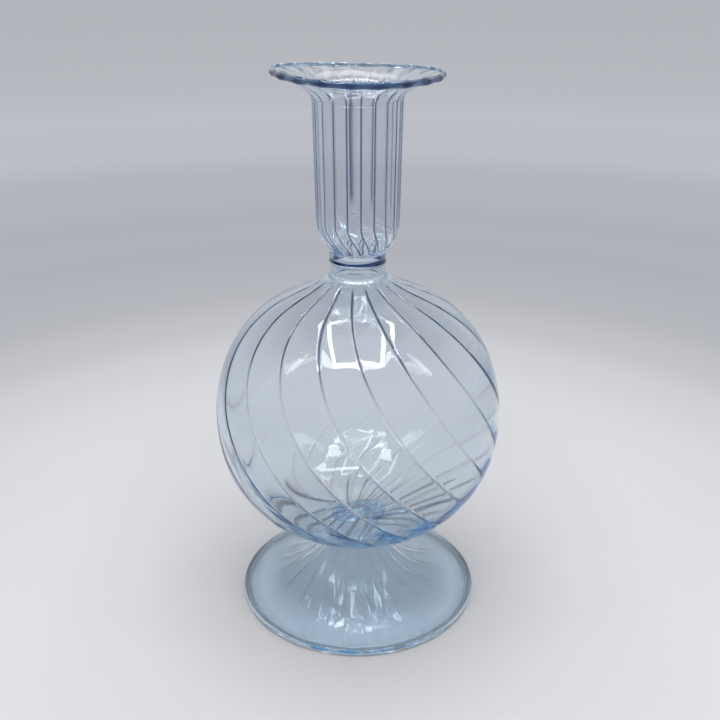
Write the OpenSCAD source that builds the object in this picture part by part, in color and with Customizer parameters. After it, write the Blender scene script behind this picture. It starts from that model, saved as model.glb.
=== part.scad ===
// Glass bud vase: a blown globe on a trumpet foot, with a ribbed tube neck and a flared lip.
// Millimetres, +Z up. The origin is the centre of the ring that the vase rests on.
// Every piece is turned about the vase's axis, and the neck tube has upright grooves as well.
// Each piece meets the next one face to face.

/* [Foot] */
// Outside radius of the foot
foot_r = 46.4; // [42:0.1:52]
// Height of the trumpet, from the resting ring to the button that closes it
foot_h = 27.2; // [22:0.1:34]
// Outside radius at the top of the trumpet
foot_top_r = 8.2; // [7.6:0.1:9.2]
// Radial distance over which the flare drops to about a third of its height
foot_flare = 15.3; // [11:0.1:20]
// Radius of the rounded edge of the foot, whose lower half is the rim folded under it
foot_edge_r = 1.35; // [1.2:0.05:1.6]
// Height of the solid button that joins the foot to the globe
seal_h = 2.3; // [1.6:0.1:5]

/* [Globe] */
// Outside radius at the equator
globe_r = 52.9; // [48:0.1:58]
// Height that the upper half would have if it closed in a rounded crown
globe_up = 51.2; // [47:0.1:57]
// Height from the equator to the lowest point
globe_down = 48.2; // [44:0.1:54]
// Roundness of the upper half, where 2 is a true ellipse
globe_up_n = 2.17; // [1.9:0.01:2.3]
// Roundness of the lower half, where 2 is a true ellipse
globe_down_n = 2.19; // [1.9:0.01:2.3]
// Thickness of the globe's wall
globe_wall = 1.2; // [1:0.1:2]
// Thickness of the glass that gathers at the bottom of the globe
globe_floor = 2.6; // [2:0.1:5]
// Radius at which the upper half starts to sweep up towards the throat
sweep_r = 24.3; // [21:0.1:27]
// Height over which the sweep turns upright
sweep_rise = 2.5; // [2:0.1:4]

/* [Throat] */
// Radius of the narrow passage from the neck into the globe
throat_r = 8.2; // [7:0.1:8.2]
// Outside radius of the plain band above the globe's shoulder
band_r = 9.7; // [9.5:0.1:10.4]
// Height of the plain band
band_h = 4.6; // [4:0.1:7]
// Height of the ring wrapped round the throat
ring_h = 4.0; // [3:0.1:6]
// How far the ring swells past the band
ring_swell = 0.5; // [0.3:0.1:1]

/* [Neck] */
// Outside radius of the neck tube
neck_r = 15.1; // [14.7:0.1:17]
// Inside radius of the neck tube
neck_bore_r = 13.4; // [12:0.1:13.4]
// Height of the neck tube, with its rounded bottom
neck_h = 51.8; // [35:0.1:70]
// Height of the neck tube's rounded bottom
neck_bowl_h = 11.8; // [10:0.1:15]
// Number of ribs round the neck
neck_ribs = 20; // [12:1:28]
// Depth of the groove between two ribs
neck_groove = 0.35; // [0.2:0.05:0.6]

/* [Lip] */
// Outside radius of the lip, over its rolled rim
lip_r = 28.9; // [25:0.1:34]
// Rise of the lip, from the neck tube to the middle of its rim
lip_rise = 8.1; // [7:0.1:12]
// Height at which the lip's two straighter parts would meet in a corner
lip_corner = 4.3; // [3:0.1:5]
// Thickness of the lip's sheet at its edge
lip_wall = 1.2; // [1:0.1:1.6]
// Radius of the rolled bead round the lip
lip_bead_r = 1.1; // [0.9:0.05:1.4]

/* [Hidden] */

sheet_blue = [0.68, 0.77, 0.87];
edge_blue = [0.34, 0.45, 0.68];

$fn = 96;
flare_steps = 24;
globe_steps = 26;
curve_steps = 12;
arc_steps = 12;
groove_tool_r = 0.8;

// The foot's edge is a round whose middle sits a little below its own radius, which leaves a narrow
// flat ring to rest on. The rim folded under the foot is its lower half, up to fold_z.
fold_z = 0.9 * foot_edge_r;
edge_centre_r = foot_r - foot_edge_r;
fold_in_r = edge_centre_r - foot_edge_r;
foot_join_angle = 120;
foot_join_r = edge_centre_r + foot_edge_r * cos(foot_join_angle);
foot_join_z = fold_z + foot_edge_r * sin(foot_join_angle);
foot_wall = (flare_z(fold_in_r) - fold_z) / flare_stretch(fold_in_r);
foot_hollow_r = foot_top_r - 1.2 * foot_wall;

// The button takes the first few rings of the globe's underside, so the two share one face.
seal_rings = 3;

// The globe ends part of the way along its sweep, and the plain band takes the rest of it.
globe_share = 0.75;
globe_z = foot_h + seal_h + globe_down;
shoulder = outer_sweep(globe_share);
ring_z = shoulder[1] + band_h;
ring_top_r = band_r - 0.3;
ring_crease = 0.42;
neck_z = ring_z + ring_h;
neck_wall = neck_r - neck_bore_r;
lip_z = neck_z + neck_h;

lip_bead_centre_r = lip_r - lip_bead_r;
lip_join_r = lip_bead_centre_r - 0.3 * lip_bead_r;
lip_bead_z = lip_z + lip_rise;

// Height of the trumpet's upper face at radius r
function flare_drop(r) = exp(-(r - foot_top_r) / foot_flare);
function flare_z(r) =
    foot_join_z + (foot_h - foot_join_z)
        * (flare_drop(r) - flare_drop(foot_join_r)) / (1 - flare_drop(foot_join_r));

// How much thicker the sheet is when measured upright at radius r, where it slopes
function flare_slope(r) =
    (foot_h - foot_join_z) * flare_drop(r) / foot_flare / (1 - flare_drop(foot_join_r));
function flare_stretch(r) = sqrt(1 + pow(flare_slope(r), 2));

// A point on one half of a rounded globe: angle -90 is the lowest point, 0 the equator, 90 the crown
function globe_point(angle, r, height, n) = [
    r * pow(cos(angle), 2 / n),
    globe_z + sign(angle) * height * pow(abs(sin(angle)), 2 / n)
];
function globe_top_z(at_r, r, height) = globe_z + height * pow(1 - pow(at_r / r, globe_up_n), 1 / globe_up_n);
function globe_top_slope(at_r, r, height) =
    -height / r * pow(at_r / r, globe_up_n - 1) * pow(1 - pow(at_r / r, globe_up_n), 1 / globe_up_n - 1);

function lower_half(r, height) = [
    for (i = [0:globe_steps - 1]) globe_point(-90 + 90 * i / globe_steps, r, height, globe_down_n)
];
function upper_half(r, height) = [
    let (top_angle = acos(pow(sweep_r / r, globe_up_n / 2)))
        for (i = [0:globe_steps - 1])
            globe_point(top_angle * i / globe_steps, r, height, globe_up_n)
];

// A point on a smooth curve from start to end that is pulled towards a corner
function bend(start, corner, end, share) =
    pow(1 - share, 2) * start + 2 * share * (1 - share) * corner + share * share * end;
function bend_line(start, corner, end, from = 0, to = 1) = [
    for (i = [0:curve_steps]) bend(start, corner, end, from + (to - from) * i / curve_steps)
];

// The curve by which the globe rises into the band, outside and inside
function sweep_start(inset) = [sweep_r, globe_top_z(sweep_r, globe_r - inset, globe_up - inset)];
function sweep_corner(inset, end_r) = [
    end_r,
    sweep_start(inset)[1]
        + globe_top_slope(sweep_r, globe_r - inset, globe_up - inset) * (end_r - sweep_r)
];
function sweep_end() = sweep_corner(0, band_r) + [0, sweep_rise];
function outer_sweep(share) = bend(sweep_start(0), sweep_corner(0, band_r), sweep_end(), share);

// Points along an arc
function arc(centre, r, from, to) = [
    for (i = [0:arc_steps])
        let (t = from + (to - from) * i / arc_steps)
            centre + r * [cos(t), sin(t)]
];

function reversed(points) = [for (i = [len(points) - 1:-1:0]) points[i]];

module turned(points) {
    rotate_extrude() polygon(points);
}

// Rim folded under the edge of the foot, flat where the vase rests on it
module foot_rim() {
    flat_angle = asin(fold_z / foot_edge_r);
    centre = [edge_centre_r, fold_z];
    color(edge_blue)
        turned(concat(
            arc(centre, foot_edge_r, -180, -180 + flat_angle),
            arc(centre, foot_edge_r, -flat_angle, 0)
        ));
}

// Hollow trumpet, open below, with a rounded edge
module foot() {
    top_radii = [for (i = [0:flare_steps]) foot_top_r + (foot_join_r - foot_top_r) * i / flare_steps];
    under_radii = [for (i = [0:flare_steps]) foot_top_r + (fold_in_r - foot_top_r) * i / flare_steps];
    color(sheet_blue)
        turned(concat(
            [[foot_hollow_r, foot_h]],
            [for (r = top_radii) [r, flare_z(r)]],
            reversed(arc([edge_centre_r, fold_z], foot_edge_r, 0, foot_join_angle - 8)),
            reversed([for (r = under_radii) [r, flare_z(r) - foot_wall * flare_stretch(r)]])
        ));
}

// Solid button that closes the trumpet and carries the globe
module foot_seal() {
    underside = lower_half(globe_r, globe_down);
    color(edge_blue)
        turned(concat(
            [[0, foot_h], [foot_top_r, foot_h]],
            [for (i = [seal_rings:-1:0]) underside[i]]
        ));
}

// Blown globe, thicker at the bottom, that sweeps up to an open top
module globe() {
    inner_r = globe_r - globe_wall;
    inner_end = [throat_r, shoulder[1]];
    color(sheet_blue)
        turned(concat(
            lower_half(globe_r, globe_down),
            upper_half(globe_r, globe_up),
            bend_line(sweep_start(0), sweep_corner(0, band_r), sweep_end(), 0, globe_share),
            reversed(concat(
                lower_half(inner_r, globe_down - globe_floor),
                upper_half(inner_r, globe_up - globe_wall),
                bend_line(sweep_start(globe_wall), sweep_corner(globe_wall, throat_r), inner_end)
            ))
        ));
}

// Plain band that carries the globe's sweep on upright
module shoulder_band() {
    color(sheet_blue)
        turned(concat(
            [[throat_r, shoulder[1]]],
            bend_line(sweep_start(0), sweep_corner(0, band_r), sweep_end(), globe_share, 1),
            [[band_r, ring_z], [throat_r, ring_z]]
        ));
}

// Ring of glass wrapped round the throat, with a crease round it between two swellings
module neck_ring() {
    crease_z = ring_z + ring_crease * ring_h;
    function swelling(r, low_z, high_z, share) = [
        r + ring_swell * sin(180 * share),
        low_z + (high_z - low_z) * share
    ];
    color(edge_blue)
        turned(concat(
            [[throat_r, ring_z]],
            [for (i = [0:arc_steps]) swelling(band_r, ring_z, crease_z, i / arc_steps)],
            [
                for (i = [1:arc_steps])
                    let (share = i / arc_steps)
                        swelling(band_r + (ring_top_r - band_r) * share, crease_z, neck_z, share)
            ],
            [[throat_r, neck_z]]
        ));
}

// Neck tube: a rounded bottom, and above it a straight bore with upright grooves between the ribs
module neck_tube() {
    bowl_z = neck_z + neck_bowl_h;
    inside_z = neck_z + neck_wall / 2;
    color(sheet_blue) {
        turned(concat(
            [[throat_r, neck_z]],
            bend_line([ring_top_r, neck_z], [neck_r, neck_z + neck_r - ring_top_r], [neck_r, bowl_z]),
            reversed(bend_line(
                [throat_r, inside_z], [neck_bore_r, inside_z + neck_bore_r - throat_r], [neck_bore_r, bowl_z]
            ))
        ));
        translate([0, 0, bowl_z])
            linear_extrude(lip_z - bowl_z)
                difference() {
                    circle(neck_r);
                    circle(neck_bore_r);
                    for (i = [0:neck_ribs - 1])
                        rotate((i + 0.5) * 360 / neck_ribs)
                            translate([neck_r + groove_tool_r - neck_groove, 0])
                                circle(groove_tool_r, $fn = 24);
                }
    }
}

// Flared lip, from the top of the tube out to its rim
module lip() {
    half_wall = lip_wall / 2;
    color(sheet_blue)
        turned(concat(
            bend_line(
                [neck_r, lip_z], [neck_r, lip_z + lip_corner], [lip_join_r, lip_bead_z - half_wall]
            ),
            reversed(bend_line(
                [neck_bore_r, lip_z],
                [neck_bore_r, lip_z + lip_corner + lip_wall],
                [lip_join_r, lip_bead_z + half_wall]
            ))
        ));
}

// Rolled rim round the lip
module lip_rim() {
    join_angle = acos((lip_join_r - lip_bead_centre_r) / lip_bead_r);
    color(edge_blue)
        turned(arc([lip_bead_centre_r, lip_bead_z], lip_bead_r, -join_angle, join_angle));
}

foot_rim();
foot();
foot_seal();
globe();
shoulder_band();
neck_ring();
neck_tube();
lip();
lip_rim();
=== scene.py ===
import math

import bmesh
import bpy
import numpy as np
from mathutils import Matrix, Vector


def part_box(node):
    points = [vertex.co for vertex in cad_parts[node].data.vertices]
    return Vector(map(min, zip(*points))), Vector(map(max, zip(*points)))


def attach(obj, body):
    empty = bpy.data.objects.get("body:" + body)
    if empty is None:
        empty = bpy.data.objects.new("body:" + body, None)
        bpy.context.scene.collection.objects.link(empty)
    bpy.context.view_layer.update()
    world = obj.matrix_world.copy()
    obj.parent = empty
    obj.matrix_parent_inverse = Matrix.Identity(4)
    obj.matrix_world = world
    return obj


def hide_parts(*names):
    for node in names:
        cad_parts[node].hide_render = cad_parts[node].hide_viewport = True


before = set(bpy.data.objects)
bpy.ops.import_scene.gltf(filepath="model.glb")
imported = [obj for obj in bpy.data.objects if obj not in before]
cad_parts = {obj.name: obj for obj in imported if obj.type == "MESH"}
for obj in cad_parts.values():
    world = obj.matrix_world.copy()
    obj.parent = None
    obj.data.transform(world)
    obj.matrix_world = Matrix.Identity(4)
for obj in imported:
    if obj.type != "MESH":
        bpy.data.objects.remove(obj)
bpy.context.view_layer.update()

# Glass bud vase: nine pieces of ribbed, hand-worked glass, on a pale floor.
# Lengths are in metres. Angles round the vase are counted from the front, -Y, towards +X.

MM = 0.001
SEAM = 0.015 * MM

LOW = {node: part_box(node)[0].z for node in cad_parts}
HIGH = {node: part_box(node)[1].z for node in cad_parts}

# Foot. A groove's width is given as a share of a rib's.
FOOT_RIBS = 18
FOOT_GROOVE = 0.06
FOOT_R = 46.4 * MM
FOLD_SHARE = 0.9
FOOT_EDGE = HIGH["foot_rim"] / FOLD_SHARE
FOOT_JOIN_ANGLE = 120
FOOT_TOP_R = 8.2 * MM
FOOT_FLARE = 15.3 * MM
LOBE_END = 35.5 * MM

# Globe
GLOBE_RIBS = 18
GLOBE_GROOVE = 0.026
INSIDE_GROOVE = 0.065
GLOBE_R = 52.9 * MM
GLOBE_Z = LOW["globe"] + 48.2 * MM
GLOBE_UP = 51.2 * MM
GLOBE_DOWN = 48.2 * MM
GLOBE_UP_N = 2.17
GLOBE_DOWN_N = 2.19
GLOBE_WALL = 1.2 * MM
GLOBE_FLOOR = 2.6 * MM
SWEEP_R = 24.3 * MM
SWEEP_RISE = 2.5 * MM
GLOBE_SHARE = 0.75

# Throat and neck
THROAT_R = 8.2 * MM
BAND_R = 9.7 * MM
RING_SWELL = 0.5 * MM
RING_TOP_R = 9.4 * MM
RING_CREASE = 0.42
NECK_RIBS = 20
NECK_GROOVE = 0.05
NECK_LOW_R = 14.7 * MM
NECK_HIGH_R = 15.3 * MM
NECK_WALL = 1.6 * MM
NECK_BOWL_H = 11.8 * MM

# Lip
LIP_R = 28.9 * MM
LIP_CORNER = 4.3 * MM
LIP_BEAD = (HIGH["lip_rim"] - LOW["lip_rim"]) / 2
LIP_BEAD_R = LIP_R - LIP_BEAD
LIP_BEAD_Z = (HIGH["lip_rim"] + LOW["lip_rim"]) / 2
LIP_JOIN_SHARE = 0.3
LIP_JOIN_R = LIP_BEAD_R - LIP_JOIN_SHARE * LIP_BEAD
LIP_WALL = 1.2 * MM


# Outlines: arrays of (radius, height)

def fade(values, start, end):
    """0 before start and 1 after end, and smooth between them; start may be the higher."""
    t = np.clip((values - start) / (end - start), 0.0, 1.0)
    return t * t * (3 - 2 * t)


def power(base, exponent):
    """A power that takes a base a hair below 0 as 0."""
    return np.power(np.clip(base, 0.0, None), exponent)


def globe_half(radius, height, roundness, angles):
    """Points of a rounded half globe: -90 degrees is the lowest point and 90 the crown."""
    t = np.radians(angles)
    r = radius * power(np.cos(t), 2 / roundness)
    z = GLOBE_Z + height * np.sign(t) * power(np.abs(np.sin(t)), 2 / roundness)
    return np.column_stack([r, z])


def globe_top_z(r, radius, height):
    """Height of the globe's upper half at radius r, if it closed in a rounded crown."""
    return GLOBE_Z + height * (1 - (r / radius) ** GLOBE_UP_N) ** (1 / GLOBE_UP_N)


def bend_line(start, corner, end, steps, first=0.0, last=1.0):
    """A smooth curve from start to end that is pulled towards a corner, or a stretch of it."""
    share = np.linspace(first, last, steps)[:, None]
    points = np.array([start, corner, end])
    return (1 - share) ** 2 * points[0] + 2 * share * (1 - share) * points[1] + share ** 2 * points[2]


def sweep_points(inset, end_r):
    """Start and corner of the curve by which the globe rises into the band."""
    radius, height = GLOBE_R - inset, GLOBE_UP - inset
    start_z = globe_top_z(SWEEP_R, radius, height)
    step = 0.01 * MM
    slope = (start_z - globe_top_z(SWEEP_R - step, radius, height)) / step
    return (SWEEP_R, start_z), (end_r, start_z + slope * (end_r - SWEEP_R))


def globe_line(inset, floor, steps):
    """The globe's wall from its lowest point up to the start of its sweep."""
    radius = GLOBE_R - inset
    top = math.degrees(math.acos((SWEEP_R / radius) ** (GLOBE_UP_N / 2)))
    lower = globe_half(radius, GLOBE_DOWN - floor, GLOBE_DOWN_N, np.linspace(-90, 0, steps, endpoint=False))
    upper = globe_half(radius, GLOBE_UP - inset, GLOBE_UP_N, np.linspace(0, top, steps, endpoint=False))
    return np.vstack([lower, upper])


def arc_line(centre, radius, start, end, steps):
    """Points along an arc, from one angle to another in degrees."""
    t = np.radians(np.linspace(start, end, steps))
    return np.column_stack([centre[0] + radius * np.cos(t), centre[1] + radius * np.sin(t)])


def evened(line, step):
    """The same line with points about one step apart."""
    lengths = np.hypot(*np.diff(line, axis=0).T)
    along = np.concatenate([[0.0], np.cumsum(lengths)])
    places = np.linspace(0, along[-1], max(2, int(along[-1] / step) + 1))
    return np.column_stack([np.interp(places, along, line[:, axis]) for axis in (0, 1)])


def outward(line):
    """Unit normals to the right of a line, which is outwards on a line that climbs."""
    along = np.gradient(line, axis=0)
    along /= np.maximum(np.hypot(along[:, 0], along[:, 1]), 1e-12)[:, None]
    return np.column_stack([along[:, 1], -along[:, 0]])


# Ribs

def round_columns(count):
    """Angles of evenly spaced columns, for a piece without ribs."""
    return np.linspace(0, 2 * math.pi, count, endpoint=False)


def rib_columns(count, width):
    """Angles of the mesh's columns, which are close together at each groove."""
    near = np.array([0.45, 0.9, 1.4, 2.0, 2.9, 4.2]) * width
    far = np.linspace(near[-1], 0.5, 5)[1:]
    side = np.concatenate([near, far])
    places = np.concatenate([[0.0], side, 1 - side[-2::-1]])
    pitch = 2 * math.pi / count
    return np.concatenate([(places + rib) * pitch for rib in range(count)])


def groove_share(columns, count, width):
    """How deep in a groove each column is: 1 at its middle and 0 on a rib's crown."""
    away = np.abs((columns * count / (2 * math.pi) + 0.5) % 1.0 - 0.5)
    return np.exp(-np.square(away / width))


def crown_share(columns, count):
    """1 on a rib's crown and 0 at a groove's middle, in an even arch that meets the next in a crease."""
    away = np.abs((columns * count / (2 * math.pi)) % 1.0 - 0.5)
    return 1 - np.square(2 * away)


def turned(line, columns, twist=0.0, relief=0.0, sway=0.0):
    """Points of a line turned about Z: an array of rings, columns and coordinates. twist turns a ring,
    relief moves a point along the line's normal, and sway moves it up."""
    normal = outward(line)
    twist = np.broadcast_to(twist, len(line))[:, None]
    r = line[:, 0, None] + normal[:, 0, None] * relief
    z = line[:, 1, None] + normal[:, 1, None] * relief + sway
    angle = columns[None, :] + twist
    r, z, angle = np.broadcast_arrays(r, z, angle)
    return np.stack([r * np.sin(angle), -r * np.cos(angle), z], axis=2)


def two_walls(outer, inner):
    """An outer and an inner wall as one round of rings."""
    return np.concatenate([outer, inner[::-1]])


# Materials

# Painted navy shade for grooves, creases and lower edges, and what a thick piece of glass lets through
PAINTED_SHADE_NAVY = (0.003, 0.010, 0.065)
THICK_BLUE = (0.0, 0.51, 0.80)
GLASS_IOR = 1.47

# The scale and the depth of the soft waves on each kind of glass
WAVES = {"sheet_glass": (60.0, 0.9 * MM), "thick_glass": (90.0, 0.2 * MM)}

# Each piece's tint, and how strongly a thickness of it colours the light
GLASS = {
    "foot_rim": ((0.96, 0.97, 0.985), 8.0),
    # The foot's tint is deeper than the globe's, and part of that is painted shade for the shaded floor
    # seen through the foot.
    "foot": ((0.85, 0.924, 0.971), 20.0),
    "foot_seal": ((0.93, 0.965, 0.985), 40.0),
    "globe": ((0.908, 0.937, 0.961), 24.0),
    "shoulder_band": ((0.908, 0.937, 0.961), 24.0),
    "neck_ring": ((0.94, 0.95, 0.975), 50.0),
    "neck_tube": ((0.925, 0.937, 0.968), 25.0),
    "lip": ((0.925, 0.94, 0.97), 25.0),
    "lip_rim": ((0.92, 0.93, 0.965), 80.0),
}


def glass_material(name, tint, density, wave_scale, wave_depth):
    """Clear glass that takes its blue from its thickness, with painted navy shade where the groove
    attribute asks, mostly along the grooves.
    """
    material = bpy.data.materials.new(name)
    material.use_nodes = True
    nodes, links = material.node_tree.nodes, material.node_tree.links
    nodes.clear()
    output = nodes.new("ShaderNodeOutputMaterial")
    shader = nodes.new("ShaderNodeBsdfPrincipled")
    shader.inputs["Transmission Weight"].default_value = 1.0
    shader.inputs["IOR"].default_value = GLASS_IOR
    shader.inputs["Specular IOR Level"].default_value = 0.5
    links.new(shader.outputs["BSDF"], output.inputs["Surface"])

    place = nodes.new("ShaderNodeTexCoord")
    stretch = nodes.new("ShaderNodeMapping")
    stretch.inputs["Scale"].default_value = (1.0, 1.0, 0.35)
    links.new(place.outputs["Object"], stretch.inputs["Vector"])
    cloud = nodes.new("ShaderNodeTexNoise")
    cloud.inputs["Scale"].default_value = wave_scale
    cloud.inputs["Detail"].default_value = 1.5
    links.new(stretch.outputs["Vector"], cloud.inputs["Vector"])

    streak = nodes.new("ShaderNodeMixRGB")
    streak.inputs["Color1"].default_value = (*tint, 1)
    streak.inputs["Color2"].default_value = (*[0.97 * c for c in tint], 1)
    links.new(cloud.outputs["Fac"], streak.inputs["Fac"])
    # The groove attribute is painted shade: it mixes navy into the base colour.
    rib = nodes.new("ShaderNodeAttribute")
    rib.attribute_name = "groove"
    line = nodes.new("ShaderNodeMixRGB")
    line.inputs["Color2"].default_value = (*PAINTED_SHADE_NAVY, 1)
    links.new(rib.outputs["Fac"], line.inputs["Fac"])
    links.new(streak.outputs["Color"], line.inputs["Color1"])
    links.new(line.outputs["Color"], shader.inputs["Base Color"])

    rough = nodes.new("ShaderNodeMapRange")
    rough.inputs["To Min"].default_value = 0.0
    rough.inputs["To Max"].default_value = 0.012
    links.new(cloud.outputs["Fac"], rough.inputs["Value"])
    links.new(rough.outputs["Result"], shader.inputs["Roughness"])

    bump = nodes.new("ShaderNodeBump")
    bump.inputs["Strength"].default_value = 0.1
    bump.inputs["Distance"].default_value = wave_depth
    links.new(cloud.outputs["Fac"], bump.inputs["Height"])
    links.new(bump.outputs["Normal"], shader.inputs["Normal"])

    volume = nodes.new("ShaderNodeVolumeAbsorption")
    volume.inputs["Color"].default_value = (*THICK_BLUE, 1)
    volume.inputs["Density"].default_value = density
    links.new(volume.outputs["Volume"], output.inputs["Volume"])
    return material


# Pieces

def glass_piece(name, slot, surface, groove, poles=False):
    """A closed mesh over rings of points. The rings run round the whole of the wall, back to the first,
    or from one point on the axis to another if poles is true."""
    rings, columns = surface.shape[:2]
    points = surface.reshape(-1, 3)
    groove = np.broadcast_to(groove, (rings, columns)).reshape(-1)
    faces = []
    for i in range(rings - 1 if poles else rings):
        j = (i + 1) % rings
        for k in range(columns):
            m = (k + 1) % columns
            faces.append((i * columns + k, i * columns + m, j * columns + m, j * columns + k))
    mesh = bpy.data.meshes.new(name)
    mesh.from_pydata(points.tolist(), [], faces)
    # groove is each point's share of painted navy shade.
    mesh.attributes.new("groove", "FLOAT", "POINT").data.foreach_set("value", groove.astype(np.float32))

    shape = bmesh.new()
    shape.from_mesh(mesh)
    bmesh.ops.remove_doubles(shape, verts=shape.verts, dist=0.002 * MM)
    bmesh.ops.recalc_face_normals(shape, faces=shape.faces)
    shape.to_mesh(mesh)
    shape.free()
    mesh.shade_smooth()
    mesh.set_sharp_from_angle(angle=math.radians(58))

    piece = bpy.data.objects.new(name, mesh)
    bpy.context.collection.objects.link(piece)
    mesh.materials.append(glass_material(f"{slot}_of_{name}", *GLASS[name], *WAVES[slot]))
    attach(piece, "root")
    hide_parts(name)


def foot_join():
    """The foot's rounded edge: its middle, and where the trumpet's upper face meets it."""
    centre = (FOOT_R - FOOT_EDGE, HIGH["foot_rim"])
    angle = math.radians(FOOT_JOIN_ANGLE)
    return centre, (centre[0] + FOOT_EDGE * math.cos(angle), centre[1] + FOOT_EDGE * math.sin(angle))


def foot_top_z(r):
    """Height of the trumpet's upper face at radius r."""
    join_r, join_z = foot_join()[1]
    drop = np.exp(-(r - FOOT_TOP_R) / FOOT_FLARE)
    last = math.exp(-(join_r - FOOT_TOP_R) / FOOT_FLARE)
    return join_z + (HIGH["foot"] - join_z) * (drop - last) / (1 - last)


def foot_twist(r):
    """The foot's ribs sweep round as they run out."""
    return np.radians(9.5 + 0.74 * (r / MM - 25))


def make_foot():
    """The trumpet is ribbed on both faces, and the ribs end in rounded lobes short of the edge."""
    columns = rib_columns(FOOT_RIBS, FOOT_GROOVE)
    groove = groove_share(columns, FOOT_RIBS, FOOT_GROOVE)[None, :]
    crown = crown_share(columns, FOOT_RIBS)[None, :]
    lobe = np.square(np.sin(columns * FOOT_RIBS / 2))[None, :] - 0.5
    centre, (join_r, _) = foot_join()
    fold_r = centre[0] - FOOT_EDGE
    fold_z = centre[1] + SEAM
    radii = np.linspace(FOOT_TOP_R, join_r, 300)
    top = evened(np.column_stack([radii, foot_top_z(radii)]), 0.6 * MM)
    edge = arc_line(centre, FOOT_EDGE, FOOT_JOIN_ANGLE - 8, 0, 12)
    edge[-1, 1] = fold_z

    under_r = np.linspace(FOOT_TOP_R, fold_r, 300)
    slope = np.abs(np.gradient(foot_top_z(under_r), under_r))
    stretch = np.hypot(1, slope)
    wall = (foot_top_z(fold_r) - centre[1]) / stretch[-1]
    under = evened(np.column_stack([under_r, foot_top_z(under_r) - wall * stretch]), 0.8 * MM)
    under[-1, 1] = fold_z
    hollow_r = FOOT_TOP_R - 1.2 * wall
    under = np.vstack([[hollow_r, top[0, 1]], under])
    top[0, 1] = under[0, 1] = HIGH["foot"] - SEAM

    lobe_end = LOBE_END + 1.5 * MM * np.sin(5 * columns + 1)[None, :]

    def ribbed(line):
        """1 where the ribs are whole, falling to 0 past the lobes and to 0.3 at the trumpet's top."""
        r = line[:, 0, None]
        return fade(r, lobe_end, lobe_end - 4.5 * MM) * (0.3 + 0.7 * fade(r, 8 * MM, 18 * MM))

    top_share, under_share = ribbed(top), ribbed(under)

    # The lobes are deepest at the front. Painted navy shade draws the grooves, faint at the front and
    # darkest at the sides and back.
    deep = 0.4 + 0.6 * fade(np.cos(columns), 0.1, 0.8)[None, :]
    top_relief = top_share * deep * (
        0.022 * top[:, 0, None] * lobe + MM * (0.2 * crown - 0.1 - 0.1 * groove)
    )
    under_relief = under_share * deep * 0.01 * under[:, 0, None] * lobe
    outer = np.concatenate([
        turned(top, columns, foot_twist(top[:, 0]), top_relief),
        turned(edge, columns, foot_twist(edge[:, 0])),
    ])
    inner = turned(under, columns, foot_twist(under[:, 0]), under_relief)
    shade = np.zeros((len(outer) + len(inner), len(columns)))
    shade[:len(top)] = (1.1 - deep) * fade(top[:, 0], 34 * MM, 26 * MM)[:, None] * groove
    glass_piece("foot", "sheet_glass", two_walls(outer, inner), shade)


def make_foot_rim():
    """The rim folded under the foot's edge, flat where the vase rests on it."""
    columns = round_columns(240)
    centre = foot_join()[0]
    flat = math.degrees(math.asin(FOLD_SHARE))
    inner = arc_line(centre, FOOT_EDGE, -180, flat - 180, 12)
    outer = arc_line(centre, FOOT_EDGE, -flat, 0, 12)

    # Painted shade darkens the outside towards the floor.
    low = 0.7 * fade(outer[:, 1], 0.7 * centre[1], 0.3 * centre[1])
    shade = np.concatenate([np.zeros(len(inner)), low])[:, None]
    glass_piece("foot_rim", "thick_glass", turned(np.vstack([inner, outer]), columns), shade)


def make_foot_seal():
    """A solid button whose top is the underside of the globe."""
    columns = round_columns(96)
    under = globe_half(GLOBE_R, GLOBE_DOWN, GLOBE_DOWN_N, np.linspace(-90, -79.6, 10))
    under[:, 1] -= SEAM
    top = under[::-1].copy()
    low = HIGH["foot"] + SEAM
    side = bend_line((FOOT_TOP_R, low), (FOOT_TOP_R, low + 1.3 * MM), top[0], 8)
    line = np.vstack([[0, low], side, top[1:]])
    glass_piece("foot_seal", "thick_glass", turned(line, columns), 0.0, poles=True)


def globe_twist(z):
    """The optic ribs wind round the globe, faster towards its bottom."""
    drop = np.clip(125 - z / MM, -5, 96)
    return np.radians(-5 + 0.55 * drop + 5.13e-5 * drop ** 3)


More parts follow.
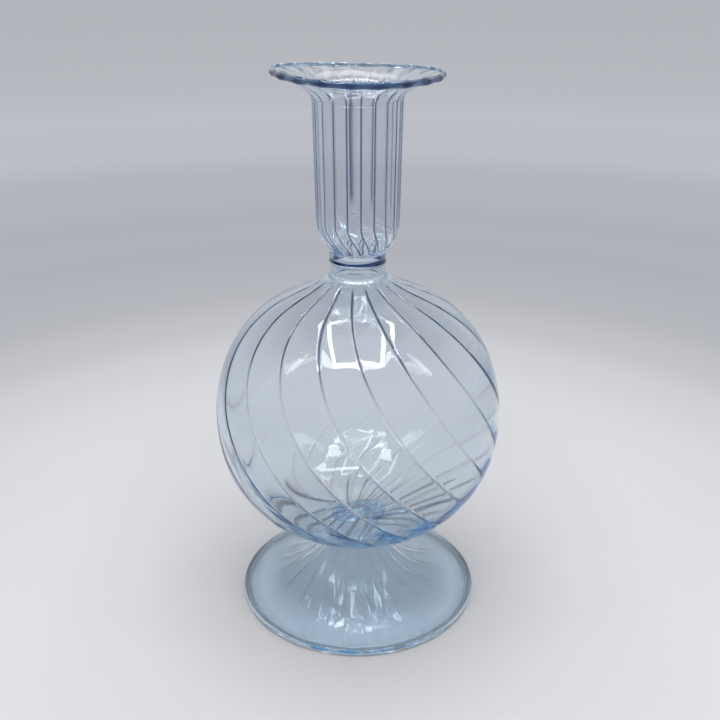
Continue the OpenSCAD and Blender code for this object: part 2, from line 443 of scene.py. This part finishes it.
def make_globe():
    """Ribs outside and in, with a ring on the floor inside where the globe is sealed to its foot."""
    columns = rib_columns(GLOBE_RIBS, GLOBE_GROOVE)
    crown = crown_share(columns, GLOBE_RIBS)[None, :]
    top_z = HIGH["globe"] - SEAM

    start, corner = sweep_points(0, BAND_R)
    end = (BAND_R, corner[1] + SWEEP_RISE)
    outside = np.vstack([globe_line(0, 0, 400), bend_line(start, corner, end, 80, 0, GLOBE_SHARE)])
    outside = evened(outside, 0.8 * MM)
    start, corner = sweep_points(GLOBE_WALL, THROAT_R)
    inside = np.vstack([
        globe_line(GLOBE_WALL, GLOBE_FLOOR, 400),
        bend_line(start, corner, (THROAT_R, top_z), 80),
    ])
    inside = evened(inside, 0.8 * MM)
    outside[-1, 1] = inside[-1, 1] = top_z

    # The outside's ribs die out at the throat and the foot, and are shallow where they crowd together.
    r, z = outside[:, 0], outside[:, 1]
    twist = globe_twist(z)
    facing = np.cos(columns[None, :] + twist[:, None])
    ends = np.where(z > GLOBE_Z, fade(r, 11 * MM, 13.5 * MM), fade(r, 1.5 * MM, 5 * MM))[:, None]
    swell = np.clip(r / (35 * MM), 0.1, 1.0)[:, None]
    broad = np.clip(1.15 * MM / np.maximum(r, 1 * MM), GLOBE_GROOVE, 2.6 * GLOBE_GROOVE)[:, None]
    groove = groove_share(columns[None, :], GLOBE_RIBS, broad)
    sharp = ends * (0.25 + 0.75 * fade(facing, -0.05, 0.25))
    deep = 0.14 + 0.16 * fade(z, 58 * MM, 40 * MM)[:, None]
    relief = MM * deep * (ends * swell * (crown - 0.5) - sharp * groove)
    outer = turned(outside, columns, twist, relief)

    # Their lines are painted navy shade: strong at the shoulder and at the bottom, and at the sides, where
    # they widen too, and fainter on the far side.
    painted_line_strength = 0.18 + 1.2 * fade(z, 98 * MM, 118 * MM) + 1.6 * fade(z, 56 * MM, 38 * MM)
    side = 1 - fade(np.abs(facing), 0.2, 0.65)
    widened = 2 * side * fade(z, 114 * MM, 100 * MM)[:, None]
    drawn = groove_share(columns[None, :], GLOBE_RIBS, broad * (1 + widened))
    painted_lines = np.minimum(1, (painted_line_strength[:, None] + 1.2 * side) * drawn)

    # Inside, the wall bulges with the ribs, and fine strokes run down to the ring on its floor. The strokes
    # and the ring are also darkened with painted navy shade, and the strokes stop lower on the far side.
    inside_r, inside_z = inside.T
    bulge = fade(inside_r, 2 * MM, 30 * MM) * fade(inside_z, top_z, top_z - 12 * MM)
    inside_twist = globe_twist(inside_z)
    behind = fade(-np.cos(columns[None, :] + inside_twist[:, None]), 0.0, 0.8)
    limit = (48 - 11 * behind) * MM
    low = fade(inside_z[:, None], limit, limit - 8 * MM) * fade(inside_r, 6 * MM, 9 * MM)[:, None]
    ring = (np.exp(-np.square((inside_r / MM - 5) / 1.1)) * fade(inside_z, 60 * MM, 50 * MM))[:, None]
    fine = groove_share(columns + math.pi / GLOBE_RIBS, GLOBE_RIBS, INSIDE_GROOVE)[None, :]
    within = MM * (-0.08 * bulge[:, None] * (crown - 0.3) + 0.3 * low * fine - 0.4 * ring)
    inner = turned(inside, columns, inside_twist, within)
    painted_strokes = np.minimum(1, 4 * low * fine + 0.6 * ring)
    shade = two_walls(sharp * painted_lines, painted_strokes)
    glass_piece("globe", "sheet_glass", two_walls(outer, inner), shade, poles=True)


def make_shoulder_band():
    """The last of the globe's sweep, and a plain upright band above it."""
    columns = round_columns(120)
    low, high = LOW["shoulder_band"] + SEAM, HIGH["shoulder_band"] - SEAM
    start, corner = sweep_points(0, BAND_R)
    end = (BAND_R, corner[1] + SWEEP_RISE)
    curve = bend_line(start, corner, end, 10, GLOBE_SHARE, 1)
    curve[0, 1] = low
    line = np.vstack([[THROAT_R, low], curve, [BAND_R, high], [THROAT_R, high]])
    glass_piece("shoulder_band", "sheet_glass", turned(line, columns), 0.0)


def make_neck_ring():
    """Two swellings with a deep crease between them, which is wider on one side of the vase."""
    columns = round_columns(144)
    low, high = LOW["neck_ring"] + SEAM, HIGH["neck_ring"] - SEAM
    crease = low + RING_CREASE * (high - low)
    t = np.linspace(0, 1, 14)
    lower = np.column_stack([BAND_R + RING_SWELL * np.sin(math.pi * t), low + (crease - low) * t])
    taper = BAND_R + (RING_TOP_R - BAND_R) * t
    upper = np.column_stack([taper + RING_SWELL * np.sin(math.pi * t), crease + (high - crease) * t])
    side = np.vstack([lower, upper[1:]])
    line = np.vstack([[THROAT_R, low], side, [THROAT_R, high]])

    # cut is the crease, and base is the joint below the ring. Both are darkened with painted navy shade,
    # the crease most widely on one side.
    away = (line[:, 1, None] - crease) / MM
    broad = 0.35 + 0.4 * fade(np.sin(columns), -0.2, 0.9)[None, :]
    cut = np.exp(-np.square(away / broad))
    base = np.exp(-np.square((line[:, 1, None] - low) / (0.4 * MM)))
    cut[0] = cut[-1] = base[0] = 0
    surface = turned(line, columns, relief=-0.45 * MM * cut)
    shade = np.minimum(1, 2.5 * cut) + 0.7 * base * (1 - cut)
    glass_piece("neck_ring", "thick_glass", surface, shade)


def neck_twist(z):
    """The ribs of the neck stand straight, and turn as they gather below."""
    return np.radians(4.5 + 24 * fade(z, LOW["neck_tube"] + 12 * MM, LOW["neck_tube"] - 3 * MM))


def make_neck_tube():
    """The tube widens a little towards its top, and its ribs are creases pressed in from outside."""
    columns = rib_columns(NECK_RIBS, NECK_GROOVE)
    groove = groove_share(columns, NECK_RIBS, NECK_GROOVE)[None, :]
    crown = crown_share(columns, NECK_RIBS)[None, :]
    low, high = LOW["neck_tube"] + SEAM, HIGH["neck_tube"] - SEAM
    bowl_z = low + NECK_BOWL_H

    def wall(start_r, start_z, inset):
        tube_r, top_r = NECK_LOW_R - inset, NECK_HIGH_R - inset
        corner = (tube_r, start_z + tube_r - start_r)
        return np.vstack([
            bend_line((start_r, start_z), corner, (tube_r, bowl_z), 60),
            np.linspace((tube_r, bowl_z), (top_r, high), 40)[1:],
        ])

    outside = evened(wall(RING_TOP_R, low, 0), 0.6 * MM)
    inside = evened(wall(THROAT_R, low + NECK_WALL / 2, NECK_WALL), 1.0 * MM)
    inside = np.vstack([[THROAT_R, low], inside])

    # The ribs start a little above the ring, and are deepest where they gather.
    start = fade(outside[:, 1], low, low + 2 * MM)[:, None]
    gather = fade(outside[:, 1], low + 12 * MM, low + 3 * MM)[:, None]
    relief = start * MM * ((0.25 + 0.35 * gather) * (crown - 1) - 0.25 * groove)
    outer = turned(outside, columns, neck_twist(outside[:, 1]), relief)
    inner = turned(inside, columns, neck_twist(inside[:, 1]))

    # Painted navy shade draws the grooves' lines. The lines of the far side stop where they would turn.
    shade = np.zeros((len(outer) + len(inner), len(columns)))
    far_side = fade(np.cos(columns), 0.1, -0.4)[None, :]
    turning = fade(outside[:, 1], low + 17 * MM, low + 11 * MM)[:, None]
    shade[:len(outer)] = start * (1 - turning * far_side) * np.minimum(0.97, 1.7 * groove)
    glass_piece("neck_tube", "sheet_glass", two_walls(outer, inner), shade)


def lip_sway(angle):
    """How far the hand-worked rim stands above or below its true height."""
    x, y = np.sin(angle), -np.cos(angle)
    return MM * (0.45 - 0.65 * x - 0.3 * y + 0.57 * (x * x - y * y))


def make_lip():
    """The ribs run out on the flange, which is left with broad soft waves."""
    columns = rib_columns(NECK_RIBS, NECK_GROOVE)
    groove = groove_share(columns, NECK_RIBS, NECK_GROOVE)[None, :]
    crown = crown_share(columns, NECK_RIBS)[None, :]
    low = LOW["lip"] + SEAM
    join_r = LIP_JOIN_R - SEAM
    bore_r = NECK_HIGH_R - NECK_WALL
    half = LIP_WALL / 2
    under = bend_line(
        (NECK_HIGH_R, low), (NECK_HIGH_R, low + LIP_CORNER), (join_r, LIP_BEAD_Z - half), 200
    )
    over = bend_line(
        (bore_r, low), (bore_r, low + LIP_CORNER + LIP_WALL), (join_r, LIP_BEAD_Z + half), 200
    )
    under, over = evened(under, 0.5 * MM), evened(over, 0.7 * MM)

    # The sway and the waves grow outwards, and the waves end where the flange meets its rim.
    twist = neck_twist(HIGH["neck_tube"])
    angle = columns + twist
    out_under = fade(under[:, 0], NECK_HIGH_R, join_r)[:, None]
    out_over = fade(over[:, 0], bore_r, join_r)[:, None]
    end_under = fade(under[:, 0], join_r, join_r - 2 * MM)[:, None]
    end_over = fade(over[:, 0], join_r, join_r - 2 * MM)[:, None]
    sway = lip_sway(angle)[None, :]
    wave = MM * (0.12 * np.sin(7 * angle) + 0.1 * np.sin(11 * angle + 2))[None, :]
    ribbed = fade(under[:, 0], 21 * MM, 15.5 * MM)[:, None]
    ribs = ribbed * MM * (0.25 * (crown - 1) - 0.25 * groove)
    waves = out_under * end_under * (wave + 0.3 * MM * (crown - 0.5))
    outer = turned(under, columns, twist, ribs + waves, out_under * sway)
    inner = turned(over, columns, twist, out_over * end_over * (0.5 * wave), out_over * sway)
    # Painted navy shade darkens the outside's grooves as far as the ribs reach.
    shade = np.zeros((len(outer) + len(inner), len(columns)))
    shade[:len(outer)] = ribbed * np.minimum(0.95, 1.5 * groove)
    glass_piece("lip", "sheet_glass", two_walls(outer, inner), shade)


def make_lip_rim():
    """The rolled edge is thicker where it ends each rib."""
    columns = round_columns(300)
    join = math.degrees(math.acos(-LIP_JOIN_SHARE))
    bead = arc_line((LIP_BEAD_R, LIP_BEAD_Z), LIP_BEAD, -join, join, 22)
    bead[[0, -1], 0] = LIP_JOIN_R + SEAM
    rib = np.square(np.sin((columns - neck_twist(HIGH["neck_tube"])) * NECK_RIBS / 2))[None, :]
    outside = fade(bead[:, 0], LIP_JOIN_R, LIP_BEAD_R)[:, None]
    relief = outside * MM * (0.3 * rib - 0.1)
    surface = turned(bead, columns, relief=relief, sway=lip_sway(columns)[None, :])

    # Painted navy shade darkens the outer and lower part of the roll, most where it ends each rib.
    below = fade(bead[:, 1], LIP_BEAD_Z + 1.0 * MM, LIP_BEAD_Z + 0.3 * MM)
    facing = fade(bead[:, 0], LIP_BEAD_R - 0.6 * MM, LIP_BEAD_R)
    shade = (below * facing)[:, None] * (0.65 + 0.35 * rib)
    glass_piece("lip_rim", "thick_glass", surface, shade)


# Floor, light and camera

def make_floor():
    """A wide pale floor a hair below the rim that rests on it, with painted light and shade: a bright
    bluish pool under the foot, then a fall into soft grey that pales again far off.
    """
    size = 6.0
    z = -0.03 * MM
    mesh = bpy.data.meshes.new("floor")
    mesh.from_pydata(
        [(-size, -size, z), (size, -size, z), (size, size, z), (-size, size, z)], [], [(0, 1, 2, 3)]
    )
    floor = bpy.data.objects.new("floor", mesh)
    bpy.context.collection.objects.link(floor)
    material = bpy.data.materials.new("floor_paper")
    material.use_nodes = True
    nodes, links = material.node_tree.nodes, material.node_tree.links
    shader = nodes["Principled BSDF"]
    shader.inputs["Roughness"].default_value = 0.85
    shader.inputs["Specular IOR Level"].default_value = 0.2
    place = nodes.new("ShaderNodeTexCoord")
    reach = 2.0
    near = nodes.new("ShaderNodeVectorMath")
    near.operation = "SCALE"
    near.inputs["Scale"].default_value = 1 / reach
    links.new(place.outputs["Object"], near.inputs[0])
    length = nodes.new("ShaderNodeVectorMath")
    length.operation = "LENGTH"
    links.new(near.outputs["Vector"], length.inputs[0])
    ramp = nodes.new("ShaderNodeValToRGB")
    ramp.color_ramp.interpolation = "EASE"
    # Distance from the vase's axis, tone, and how much bluer than grey the floor is there
    # The first two tones paint a bright bluish pool of light under the foot; the grey dip beyond and the
    # paler floor far off are painted shade and painted light.
    painted_floor_tones = [
        (0.024, 1.0, 1.10), (0.038, 0.86, 1.12), (0.047, 0.475, 1.04), (0.15, 0.475, 1.045),
        (0.20, 0.465, 1.05), (0.25, 0.435, 1.055), (0.30, 0.385, 1.07), (0.36, 0.35, 1.09),
        (0.45, 0.352, 1.11), (0.55, 0.385, 1.11), (0.70, 0.46, 1.11), (0.95, 0.625, 1.08),
        (1.2, 0.715, 1.07), (1.8, 0.745, 1.05),
    ]
    for distance, _, _ in painted_floor_tones[2:]:
        ramp.color_ramp.elements.new(distance / reach)
    for element, (distance, tone, blue) in zip(ramp.color_ramp.elements, painted_floor_tones):
        element.position = distance / reach
        element.color = (tone, tone * (0.75 + 0.25 * blue), tone * blue, 1)
    links.new(length.outputs["Value"], ramp.inputs["Fac"])
    links.new(ramp.outputs["Color"], shader.inputs["Base Color"])
    mesh.materials.append(material)


def make_world():
    """Even pale light from all round."""
    world = bpy.data.worlds.new("studio")
    world.use_nodes = True
    background = world.node_tree.nodes["Background"]
    background.inputs["Color"].default_value = (0.60, 0.607, 0.635, 1)
    background.inputs["Strength"].default_value = 1.0
    bpy.context.scene.world = world


def make_panel(name, centre, size, radiance, target=None):
    """A flat lamp that faces straight down, or towards target."""
    lamp = bpy.data.lights.new(name, "AREA")
    lamp.shape = "RECTANGLE"
    lamp.size, lamp.size_y = size
    lamp.energy = radiance * size[0] * size[1] * math.pi
    lamp.color = (1.0, 0.99, 0.98)
    panel = bpy.data.objects.new(name, lamp)
    panel.location = centre
    if target is not None:
        panel.rotation_euler = (Vector(target) - Vector(centre)).to_track_quat("-Z", "Y").to_euler()
    bpy.context.collection.objects.link(panel)


def make_lights():
    """A square frame of lamps overhead with a dim panel inside it, two tall windows at each side, and a
    panel beyond the vase."""
    height = 0.75
    half_x = 0.22
    front_y, back_y = -0.34, 0.2
    middle_y = (front_y + back_y) / 2
    depth = back_y - front_y
    make_panel("front_strip", (0, front_y, height), (2 * half_x, 0.06), 26)
    make_panel("back_strip", (0, back_y, height), (2 * half_x, 0.035), 26)
    for side in (-1, 1):
        make_panel(f"side_strip_{side}", (side * half_x, middle_y, height), (0.045, depth), 20)
        for x in (0.6, 0.75):
            place = (side * x, -0.2, 0.77)
            make_panel(f"window_{side * x}", place, (0.055, 0.32), 3.5, (0, 0, 0.09))
    make_panel("centre_panel", (0, middle_y, height + 0.01), (2 * half_x, depth), 0.5)
    make_panel("far_panel", (0, 0.62, 0.85), (0.5, 0.2), 1.5, (0, 0, 0.15))


def make_camera():
    """A camera in front of the vase that looks down on it a little. Clear glass needs many bounces."""
    camera = bpy.data.cameras.new("camera")
    camera.lens = 47.5
    camera.sensor_width = 36
    camera.clip_start = 0.01
    camera.clip_end = 50
    holder = bpy.data.objects.new("camera", camera)
    holder.location = (0.0008, -0.322, 0.239)
    holder.rotation_euler = (math.radians(90 - 23.58), 0, 0)
    bpy.context.collection.objects.link(holder)
    scene = bpy.context.scene
    scene.camera = holder
    scene.view_settings.view_transform = "Standard"
    scene.cycles.max_bounces = 64
    scene.cycles.transmission_bounces = 64
    scene.cycles.glossy_bounces = 64
    scene.cycles.caustics_refractive = True
    scene.cycles.caustics_reflective = True


make_camera()
make_world()
make_lights()
make_floor()
make_foot_rim()
make_foot()
make_foot_seal()
make_globe()
make_shoulder_band()
make_neck_ring()
make_neck_tube()
make_lip()
make_lip_rim()
